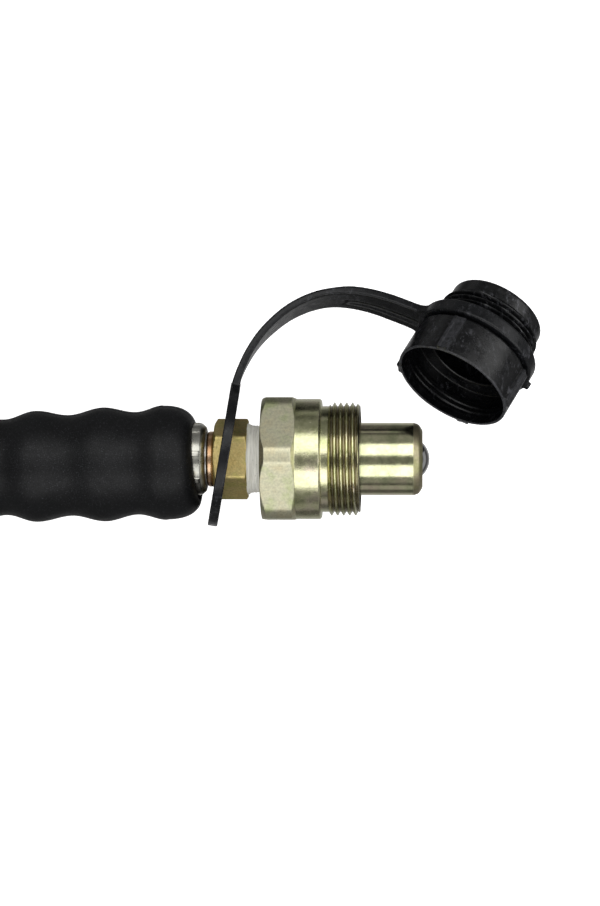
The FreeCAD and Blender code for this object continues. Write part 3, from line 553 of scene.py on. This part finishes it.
def hand_grip():
    """Ridged rubber grip with its mould parting line along both sides."""
    distances = np.concatenate([np.linspace(0.0, 1.2, 14), np.linspace(1.6, 111.2, 230)])
    outer = [np.array((-d, r)) for d, r in zip(distances, grip_radius(distances))]
    tail = rounded([(-111.5, 12.1, 0.0), (-GRIP_LENGTH, 11.95, 1.3), (-GRIP_LENGTH, 8.0, 0.4),
                    (-60.0, 8.0, 0.0), (-24.5, 8.0, 0.0), (-24.5, 9.9, 0.0), (0.0, 9.9, 0.2)])

    def shape(stations, radii, angles):
        skew = 0.8 - 0.5 * np.sin(angles)
        stations = stations - skew * (1 - smooth_step(0.0, 16.0, -stations))
        if radii[0] > 9.95:
            seam = math.radians(GRIP_SEAM)
            for side in (seam, seam + math.pi):
                away = np.abs(np.mod(angles - side + math.pi, 2 * math.pi) - math.pi) * radii
                radii = radii + 0.10 * np.exp(-(away / 0.22) ** 2)
            radii = radii + 0.05 * ripple(angles, stations, 0.35, 11)
        return stations, radii

    near_seam = np.linspace(-2.2, 2.2, 13)
    seam_angles = np.sort(np.concatenate([
        np.linspace(0, 2 * math.pi, 220, endpoint=False),
        np.radians(GRIP_SEAM + near_seam), np.radians(GRIP_SEAM + 180.0 + near_seam)]))
    piece = turned("rubber_grip", outer + tail, grip_place(), "hose_end",
                   MATERIALS["grip_rubber"], shape=shape, angles=seam_angles)
    return stands_for(piece, "grip_rubber", "hand_grip")


def crimp_ferrule():
    """Crimped shell: eight pressed faces, each a little hollow, with a ridge between them."""
    length = 22.1
    profile = subdivided(rounded([
        (0, 8.2, 0.3), (18.8, 8.2, 0.3), (18.8, 5.6, 0.2), (20.1, 5.6, 0.2), (20.1, 7.1, 0.2),
        (length, 7.1, 0.25), (length, 8.5, 0.5), (20.95, 9.5, 0.6), (0, 9.5, 0.4)]), 0.6)

    def shape(stations, radii, angles):
        if radii[0] < 8.8:
            return stations, radii
        step = math.pi / 4
        local = (np.mod(angles - math.radians(CRIMP_TURN) + step / 2, step) - step / 2) * 9.5
        ridge = 1 - smooth_step(0.66, 0.82, np.abs(local))
        pressed = smooth_step(length - 1.2, length - 1.6, stations)
        return stations, radii + pressed * (0.20 * ridge - 0.12 * (1 - ridge))

    piece = turned("crimped_ferrule", profile, at(FERRULE_REAR), "hose_end", MATERIALS["ferrule_steel"],
                   count=600, shape=shape, sharp_degrees=25.0)
    return stands_for(piece, "ferrule_steel", "crimp_ferrule")


def copper_washer():
    profile = rounded([(0, 5.0, 0.1), (2.0, 5.0, 0.1), (2.0, 7.35, 0.75), (0, 7.35, 0.75)])
    piece = turned("soft_washer", profile, at(WASHER_REAR), "hose_end", MATERIALS["copper"])
    return stands_for(piece, "copper", "copper_washer")


def hexagon_angles(turn, flats_steps=14, corner_steps=9, corner_reach=0.10):
    """Angles round a hexagon, gathered at its corners. At turn 0 a corner is at angle 0."""
    sector = math.pi / 3
    corner = np.linspace(-corner_reach, corner_reach, corner_steps)
    flat = np.linspace(corner_reach, sector - corner_reach, flats_steps + 2)[1:-1]
    one = np.concatenate([corner, flat])
    angles = np.concatenate([one + k * sector for k in range(6)]) + math.radians(turn)
    return np.sort(np.mod(angles, 2 * math.pi))


def hex_adaptor():
    """Small hexagon and the start of its taper thread."""
    hex_length = 8.85
    profile = subdivided(rounded([
        (0, 5.0, 0.2), (8.0, 5.0, 0.1), (8.0, 3.6, 0.1), (21.6, 3.6, 0.2), (21.6, 8.0, 0.5),
        (9.6, 8.38, 0.2), (hex_length, 8.4, 0.2), (hex_length, 10.2, 0.12),
        (hex_length - 0.35, 10.75, 0.15), (0.7, 10.75, 0.15), (0, 9.4, 0.12)]), 0.5)

    def shape(stations, radii, angles):
        if radii[0] < 8.8:
            return stations, radii
        return stations, softly_least(radii, hexagon_limit(angles, 19.0, ADAPTOR_TURN), 0.22)

    piece = turned("small_hexagon", profile, at(ADAPTOR_REAR), "hose_end", MATERIALS["adaptor_gold"],
                   shape=shape, angles=hexagon_angles(ADAPTOR_TURN), sharp_degrees=40.0)
    return stands_for(piece, "adaptor_gold", "hex_adaptor")


def seal_tape():
    """Overlapping wraps of tape: pushed up against the hexagon behind, ragged in front."""
    stations = np.linspace(-0.35, 3.3, 66)
    radii = np.interp(stations, (-0.35, 0.1, 1.2, 3.3), (9.60, 9.20, 8.80, 8.65))
    outer = [np.array(point) for point in zip(stations[::-1], radii[::-1])]
    profile = [np.array((-0.35, 8.42)), np.array((3.4, 8.31))] + outer

    def shape(stations, radii, angles):
        if radii[0] < 8.43:
            return stations, radii
        turns = stations / 0.85 - angles / (2 * math.pi)
        step = 0.13 * np.mod(turns, 1.0)
        return (stations + 0.10 * ripple(angles, stations, 0.2, 5) * smooth_step(2.2, 3.3, stations),
                radii + step + 0.05 * ripple(angles * 2, stations, 2.0, 7))

    piece = turned("tape_wraps", profile, at(TAPE_REAR), "hose_end", MATERIALS["ptfe"], count=256,
                   shape=shape, sharp_degrees=60.0)
    return stands_for(piece, "ptfe", "seal_tape")


# ------------------------------------------------------------------ probe and sleeve

def probe_body():
    """Round nose, seat, flange and tail of the probe body."""
    tip = 16.45
    profile = subdivided(rounded([
        (-26.0, 8.29, 0.1), (-16.5, 7.99, 0.1), (-16.5, 7.3, 0.1), (-14.5, 7.3, 0.05),
        (-14.5, 7.9, 0.05), (-13.3, 7.9, 0.05), (-13.3, 7.3, 0.05), (-10.5, 7.3, 0.1),
        (-10.5, 6.3, 0.1), (13.25, 6.3, 0.05), (13.25, 6.9, 0.05), (14.65, 6.9, 0.05),
        (14.65, 5.70, 0.05), (tip, 4.57, 0.12),
        (tip, 7.5, 0.9), (tip - 0.95, 9.15, 1.4), (tip - 2.3, PROBE_RADIUS, 0.12),
        (-0.9, PROBE_RADIUS, 0.03), (-0.95, 9.9, 0.1), (-13.8, 9.9, 0.2),
        (-13.8, 12.5, 0.3), (-20.0, 12.5, 0.3), (-20.0, 10.9, 0.2), (-22.9, 10.9, 0.1),
        (-22.9, 9.4, 0.1), (-24.9, 9.4, 0.1), (-24.9, 10.9, 0.1), (-26.0, 10.9, 0.3)]), 1.0)
    piece = turned("round_probe", profile, AXIS, "hose_end", MATERIALS["probe_steel"], count=256)
    return stands_for(piece, "probe_steel", "probe_body")


def check_ball():
    mesh = bpy.data.meshes.new("steel_ball")
    shell = bmesh.new()
    bmesh.ops.create_icosphere(shell, subdivisions=5, radius=BALL_RADIUS * MM,
                               matrix=at(BALL_STATION * MM))
    shell.to_mesh(mesh)
    shell.free()
    mesh.shade_smooth()
    mesh.materials.append(MATERIALS["ball_steel"])
    piece = bpy.data.objects.new("steel_ball", mesh)
    bpy.context.scene.collection.objects.link(piece)
    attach(piece, "ball")
    return stands_for(piece, "ball_steel", "check_ball")


def valve_spring():
    """Coil spring behind the ball, with closed end turns."""
    rear, front, radius, wire = -10.0, 7.6, 4.7, 0.5
    turns, per_turn, around = 7.5, 40, 12
    steps = int(turns * per_turn)
    vertices = []
    for step in range(steps + 1):
        share = step / steps
        angle = share * turns * 2 * math.pi
        along = rear + (front - rear) * smooth_step(0.02, 0.98, np.array(share))
        spoke = Vector((0.0, -math.sin(angle), math.cos(angle)))
        for k in range(around):
            turn = k * 2 * math.pi / around
            offset = spoke * (radius + wire * math.cos(turn)) + Vector((wire * math.sin(turn), 0, 0))
            vertices.append((Vector((float(along), 0, 0)) + offset) * MM)
    piece = add_mesh("coil_spring", vertices, tube_faces(steps + 1, around), "hose_end",
                     MATERIALS["spring_steel"])
    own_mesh(piece)
    return stands_for(piece, "spring_steel", "valve_spring")


def coupling_sleeve():
    """Hexagon, collar and cut thread: a right-hand helix whose first turn runs into a chamfer."""
    hex_end, thread_rear, first_crest = 9.1, SLEEVE_LENGTH - 8.3, SLEEVE_LENGTH - 6.81
    bore = rounded([
        (SLEEVE_LENGTH, 12.6), (25.5, 12.6, 0.05), (25.5, 13.2, 0.05), (24.3, 13.2, 0.05),
        (24.3, 12.6, 0.05), (4.0, 12.6, 0.1), (4.0, 11.0, 0.1), (0, 11.0, 0.3), (0, 16.5)])[:-1]
    outside = rounded([
        (0, 11.0), (0, 16.0, 0.2), (1.25, 17.5, 0.25), (hex_end - 0.87, 17.5, 0.25),
        (hex_end - 0.05, 16.1, 0.2), (hex_end + 0.05, 15.95, 0.5),
        (thread_rear - 2.35, 15.95, 0.15), (thread_rear - 1.95, 15.55, 0.15),
        (thread_rear - 1.9, 14.05, 0.15), (thread_rear, 14.05)])[1:]
    thread = [np.array((along, 15.0)) for along in np.linspace(thread_rear + 0.05, SLEEVE_LENGTH, 120)]
    profile = subdivided(outside, 0.35) + thread + bore

    def shape(stations, radii, angles):
        along = stations[0]
        if along > thread_rear and radii[0] == 15.0:
            phase = (along - first_crest) / THREAD_PITCH - angles / (2 * math.pi) - 0.25
            cut = THREAD_DEPTH * thread_wave(phase)
            worn = 0.05 * ripple(angles * 3, stations, 3.0, 23) * (1 - cut / THREAD_DEPTH)
            lead = 14.0 + (SLEEVE_LENGTH - stations)
            run_in = 14.05 + 1.6 * (stations - thread_rear)
            return stations, np.minimum(softly_least(15.0 - cut + worn, lead, 0.15), run_in)
        if along < hex_end and radii[0] > 15.96:
            return stations, softly_least(radii, hexagon_limit(angles, 32.0, SLEEVE_TURN), 0.30)
        return stations, radii

    angles = np.unique(np.round(np.concatenate([
        hexagon_angles(SLEEVE_TURN, 20, 15, 0.13),
        np.linspace(0, 2 * math.pi, 180, endpoint=False)]), 5))
    piece = turned("threaded_sleeve", profile, at(-SLEEVE_LENGTH), "sleeve",
                   MATERIALS["sleeve_steel"], shape=shape, angles=angles, sharp_degrees=38.0)
    return stands_for(piece, "sleeve_steel", "coupling_sleeve")


# ------------------------------------------------------------------ dust cap

def cap_place():
    """The cap's own frame: x from its mouth to its plug end."""
    swing = Vector((1, 0, 0)).rotation_difference(CAP_AXIS).to_matrix().to_4x4()
    return Matrix.Translation(CAP_MOUTH) @ swing @ Matrix.Rotation(CAP_TURN, 4, "X")


def dust_cap():
    """Moulded cap: four ribs on the skirt, a groove for its ring, threads inside and behind."""
    skirt, neck, plug, crest, root = 15.75, 13.5, 13.1, 14.78, 15.0
    skirt_end, groove_end, thread_end, length = 11.5, 16.6, 22.5, 26.7
    floor = [np.array((25.4, 0.0))]
    inside = rounded([
        (25.4, 0.0), (25.4, 10.5, 0.8), (9.6, 10.5, 0.5), (9.6, root, 0.3), (0.0, root, 0.2),
        (0.0, skirt)])[1:-1]
    outside = rounded([
        (0, root), (0, skirt, 0.35), (skirt_end, skirt, 0.6), (skirt_end, neck, 0.2),
        (groove_end, neck, 0.2), (groove_end, plug, 0.1), (length, plug, 1.2), (length, 0.0)])[1:]
    profile = floor + subdivided(inside + outside, 0.2)

    def shape(stations, radii, angles):
        along, radius = stations[0], radii[0]
        if radius == root and 0.9 < along < 9.2:
            phase = along / THREAD_PITCH - angles / (2 * math.pi)
            fade = smooth_step(1.6, 3.4, stations) * (1 - smooth_step(5.6, 7.2, stations))
            return stations, radii - fade * (root - crest) * (1 - thread_wave(phase))
        if radius == plug and groove_end < along < thread_end:
            phase = (along - PLUG_CREST) / PLUG_PITCH - (angles - PLUG_CREST_ANGLE) / (2 * math.pi)
            fade = smooth_step(groove_end, groove_end + 0.8, stations)
            end = 1 - 0.7 * smooth_step(thread_end - 1.0, thread_end, stations)
            ridge = (0.5 + 0.5 * np.cos(2 * math.pi * phase)) ** 0.55
            return stations, radii + fade * (1.25 * end * ridge - 0.30)
        if radius > skirt - 0.7 and along <= skirt_end - 0.2:
            sector = math.pi / 2
            local = (np.mod(angles + sector / 2, sector) - sector / 2) * skirt
            rib = 1 - smooth_step(1.45, 1.8, np.abs(local))
            hollow = 1 - 0.2 * (1 - smooth_step(0.5, 0.95, np.abs(local)))
            ends = smooth_step(0.05, 0.35, stations) * (1 - smooth_step(10.7, 11.1, stations))
            tool = 0.03 * ripple(angles, stations, 0.5, 31)
            return stations, radii + 0.95 * rib * hollow * ends + tool
        return stations, radii

    rib_angles = np.concatenate([np.linspace(-0.13, 0.13, 37) + k * math.pi / 2 for k in range(4)])
    angles = np.unique(np.round(np.mod(np.concatenate([
        rib_angles, np.linspace(0, 2 * math.pi, 200, endpoint=False)]), 2 * math.pi), 6))
    piece = turned("moulded_cap", profile, cap_place(), "cap", MATERIALS["cap_plastic"],
                   shape=shape, angles=angles, sharp_degrees=40.0)
    return stands_for(piece, "cap_plastic", "dust_cap")


# ------------------------------------------------------------------ tether

def ring_frames():
    """Centre, axis and strap direction of the adaptor ring and of the cap ring."""
    radial = Vector((math.sin(RING_LEAN), math.cos(RING_LEAN), 0.0))
    axis = radial.cross(Vector((0, 0, 1))) * math.cos(RING_TIP) - Vector((0, 0, math.sin(RING_TIP)))
    cap_centre = CAP_MOUTH + CAP_AXIS * CAP_RING_STATION
    level = -Vector((0, 0, 1)).cross(CAP_AXIS).normalized()
    climb = -CAP_AXIS.cross(level)
    entry = level * math.cos(STRAP_ENTRY) + climb * math.sin(STRAP_ENTRY)
    return (RING_CENTRE, axis, radial), (cap_centre, CAP_AXIS, entry)


def strap_stations(steps):
    """Centre, direction and twist along the strap, smooth through the frame's route points."""
    (near, _, radial), (far, _, entry) = ring_frames()
    points = [near + radial * 18.2] + [Vector(p) for p in STRAP_RISE + [STRAP_HINGE] + STRAP_FALL]
    points.append(far - entry * 15.0)
    slopes = [radial] + [(b - a).normalized() for a, b in zip(points, points[2:])] + [entry]
    stations = []
    for index in range(len(points) - 1):
        start, end = points[index], points[index + 1]
        chord = (end - start).length
        for step in range(steps):
            t = step / steps
            ease = 3 * t ** 2 - 2 * t ** 3
            leave = (t ** 3 - 2 * t ** 2 + t) * chord * slopes[index]
            arrive = (t ** 3 - t ** 2) * chord * slopes[index + 1]
            place = (1 - ease) * start + ease * end + leave + arrive
            along = slopes[index].lerp(slopes[index + 1], t).normalized()
            twist = STRAP_TWISTS[index] * (1 - t) + STRAP_TWISTS[index + 1] * t
            stations.append((place, along, twist))
    stations.append((points[-1], slopes[-1], STRAP_TWISTS[-1]))
    return stations


def strap_outline(half, thick, groove):
    """Loop of (across, off) points round the strap: rounded edges, and a groove in the inner
    face, which is the one at positive off."""
    edge = 0.35
    inner_face = []
    for across in np.linspace(-half + edge, half - edge, 45):
        dip = float(1 - smooth_step(0.9, 1.7, np.array(abs(across + 0.9))))
        inner_face.append((across, thick - groove * dip))
    outer_face = [(across, -thick) for across in np.linspace(half - edge, -half + edge, 13)]
    upper_side = [(half, off) for off in np.linspace(thick - edge, -thick + edge, 4)]
    lower_side = [(-half, off) for off in np.linspace(-thick + edge, thick - edge, 4)]
    return inner_face + upper_side + outer_face + lower_side


def fillet_width(distance, ring_radius, half):
    """Half width of a strap at a distance from the centre of the ring that it flares into."""
    fillet = 5.0
    middle = math.sqrt((ring_radius + fillet) ** 2 - (half + fillet) ** 2)
    touch = middle * ring_radius / (ring_radius + fillet)
    if distance >= middle:
        return half
    reach = middle - max(distance, touch)
    return half + fillet - math.sqrt(fillet ** 2 - reach ** 2)


def swept_strap():
    """Vertices and faces of the strap, open route, closed ends."""
    stations = strap_stations(14)
    far_centre, _, entry = ring_frames()[1]
    vertices = []
    for index, (place, along, twist) in enumerate(stations):
        share = np.array(index / (len(stations) - 1))
        up = (Vector((0, 0, 1)) - along * along.z).normalized()
        outwards = up.cross(along)
        turn = math.radians(twist)
        wide = up * math.cos(turn) + outwards * math.sin(turn)
        off = along.cross(wide)
        half = fillet_width((far_centre - place).dot(entry), CAP_RING[0], STRAP_HALF_WIDTH)
        thick = 1.0 + 0.12 * float(1 - smooth_step(0.0, 0.06, share))
        thick += 0.25 * float(smooth_step(0.60, 0.72, share))
        groove = 1.1 * float(smooth_step(0.66, 0.71, share))
        for across, depth in strap_outline(half, thick, groove):
            vertices.append(place + wide * across + off * depth)
    return vertices, tube_faces(len(stations), len(vertices) // len(stations))


def ring_mesh(centre, axis, outer, inner, thickness, fillet, count=160):
    """Vertices and faces of a flat moulded ring."""
    swing = Vector((1, 0, 0)).rotation_difference(axis).to_matrix()
    half = thickness / 2
    profile = rounded([(-half, inner, fillet), (half, inner, fillet), (half, outer, fillet),
                       (-half, outer, fillet)])
    vertices = []
    for along, radius in profile:
        for k in range(count):
            turn = 2 * math.pi * k / count
            spoke = Vector((along, radius * math.cos(turn), radius * math.sin(turn)))
            vertices.append(centre + swing @ spoke)
    return vertices, tube_faces(len(profile), count, closed=True)


def gate_nub(centre, axis):
    """The stub of the moulding's gate, on the cap ring's rim: a small block's corners and faces."""
    swing = Vector((1, 0, 0)).rotation_difference(axis).to_matrix()
    turn = Matrix.Rotation(math.radians(82.0), 3, "X")
    corners = [centre + swing @ turn @ Vector((along, across, out))
               for along in (-1.7, 0.1) for across in (-0.8, 0.8) for out in (15.5, 17.7)]
    faces = [(0, 1, 3, 2), (4, 6, 7, 5), (0, 4, 5, 1), (2, 3, 7, 6), (0, 2, 6, 4), (1, 5, 7, 3)]
    return corners, faces


def tether():
    """One moulding: adaptor ring, strap and cap ring, melted together and bent at the hinge."""
    (near, near_axis, _), (far, far_axis, _) = ring_frames()
    parts = [swept_strap(), gate_nub(far, far_axis), ring_mesh(near, near_axis, *ADAPTOR_RING),
             ring_mesh(far, far_axis, *CAP_RING)]
    vertices, faces = [], []
    for part_vertices, part_faces in parts:
        base = len(vertices)
        vertices += part_vertices
        faces += [tuple(base + k for k in face) for face in part_faces]
    piece = add_mesh("moulded_tether", [MM * v for v in vertices], faces, None,
                     MATERIALS["strap_plastic"])
    melt = piece.modifiers.new("melt", "REMESH")
    melt.mode = "VOXEL"
    melt.voxel_size = 0.24 * MM
    ease = piece.modifiers.new("ease", "SMOOTH")
    ease.factor = 0.5
    ease.iterations = 3
    depsgraph = bpy.context.evaluated_depsgraph_get()
    melted = bpy.data.meshes.new_from_object(piece.evaluated_get(depsgraph))
    piece.modifiers.clear()
    piece.data = melted
    melted.shade_smooth()
    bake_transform(piece)
    return stands_for(piece, "cap_plastic", "tether_ring_end", "tether_cap_end")


# ------------------------------------------------------------------ hidden nodes that stay

CARRIED = {"hose_insert": "insert_steel", "seat_seal": "seal_rubber", "spring_retainer": "inner_steel",
           "retainer_clip": "spring_steel", "sleeve_oring": "seal_rubber", "guide_bush": "bush_bronze",
           "bush_clip": "spring_steel", "thrust_ring": "bush_bronze"}


def dress_carried_nodes():
    for node, slot in CARRIED.items():
        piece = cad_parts[node]
        piece.data.materials.clear()
        piece.data.materials.append(MATERIALS[slot])


# ------------------------------------------------------------------ studio

def backdrop(piece, name, glow):
    """Dress a stage piece in white that gives off light itself, and keep it out of reflections."""
    piece.name = name
    material, tree, shader = new_material(name)
    tree.links.new(ramp(tree, noise(tree, 30.0), [(0.3, 0.80), (0.7, 0.82)]),
                   shader.inputs["Base Color"])
    shader.inputs["Roughness"].default_value = 0.9
    shader.inputs["Emission Color"].default_value = (1.0, 1.0, 1.0, 1.0)
    shader.inputs["Emission Strength"].default_value = glow
    piece.data.materials.append(material)
    piece.visible_glossy = False
    piece.visible_diffuse = False


def studio():
    """White floor and surround, two long soft boxes beside the camera and one at the nose.

    Floor and surround are burnt out to white, as on a light table. What shines in the metal is
    the soft boxes and the dim world beyond."""
    bpy.ops.mesh.primitive_plane_add(size=6.0, location=(0, 0, FLOOR_Z * MM))
    backdrop(bpy.context.object, "floor", 0.8)
    bpy.ops.mesh.primitive_uv_sphere_add(radius=2.8, segments=64, ring_count=32)
    surround = bpy.context.object
    backdrop(surround, "surround", 1.0)
    surround.visible_shadow = False

    world = bpy.data.worlds.new("beyond")
    bpy.context.scene.world = world
    world.use_nodes = True
    tree = world.node_tree
    direction = add_node(tree, "ShaderNodeTexCoord").outputs["Generated"]
    height = add_node(tree, "ShaderNodeSeparateXYZ", {"Vector": direction}).outputs["Z"]
    level = add_node(tree, "ShaderNodeMapRange", {
        "Value": height, "From Min": -1.0, "From Max": 1.0}).outputs["Result"]
    shade = ramp(tree, level, [(0.05, 0.45), (0.15, 0.12), (0.27, 0.06), (0.31, 0.30), (0.46, 0.34),
                               (0.49, 0.05), (0.53, 0.06), (0.60, 0.24), (0.80, 0.20),
                               (1.00, 0.16)])
    tree.links.new(shade, tree.nodes["Background"].inputs["Color"])

    for name, around, tilt, size, glow in (
            ("softbox_left", 0.0, 30.0, (1.8, 0.72), 1.95),
            ("softbox_right", 180.0, 38.3, (1.8, 0.75), 1.8),
            ("softbox_front", -90.0, 58.0, (1.4, 0.90), 1.6)):
        light = bpy.data.lights.new(name, "AREA")
        light.shape = "RECTANGLE"
        light.size, light.size_y = size
        light.energy = glow * math.pi * size[0] * size[1]
        lamp = bpy.data.objects.new(name, light)
        bpy.context.scene.collection.objects.link(lamp)
        place = Matrix.Rotation(math.radians(around), 4, "Z") @ Matrix.Rotation(
            math.radians(-tilt), 4, "X") @ Matrix.Translation((0, 0, 1.1))
        lamp.matrix_world = place


def camera():
    """Looks down on the coupler from above its nose, a little off square to the axis."""
    eye, aim = Vector((15.79, 1.59, 663.5)) * MM, Vector((-16.06, 1.59, 0.0)) * MM
    look = (aim - eye).normalized()
    right = look.cross(Vector((0, 1, 0))).normalized()
    up = right.cross(look)
    lens = bpy.data.cameras.new("camera")
    lens.sensor_width = 36.0
    lens.lens = 99.4
    lens.clip_start, lens.clip_end = 0.01, 20.0
    view = bpy.data.objects.new("camera", lens)
    view.matrix_world = Matrix.Translation(eye) @ Matrix((right, up, -look)).transposed().to_4x4()
    bpy.context.scene.collection.objects.link(view)
    bpy.context.scene.camera = view


bpy.context.scene.view_settings.view_transform = "Standard"
camera()
studio()
hand_grip()
crimp_ferrule()
copper_washer()
hex_adaptor()
seal_tape()
probe_body()
check_ball()
valve_spring()
coupling_sleeve()
dust_cap()
tether()
dress_carried_nodes()
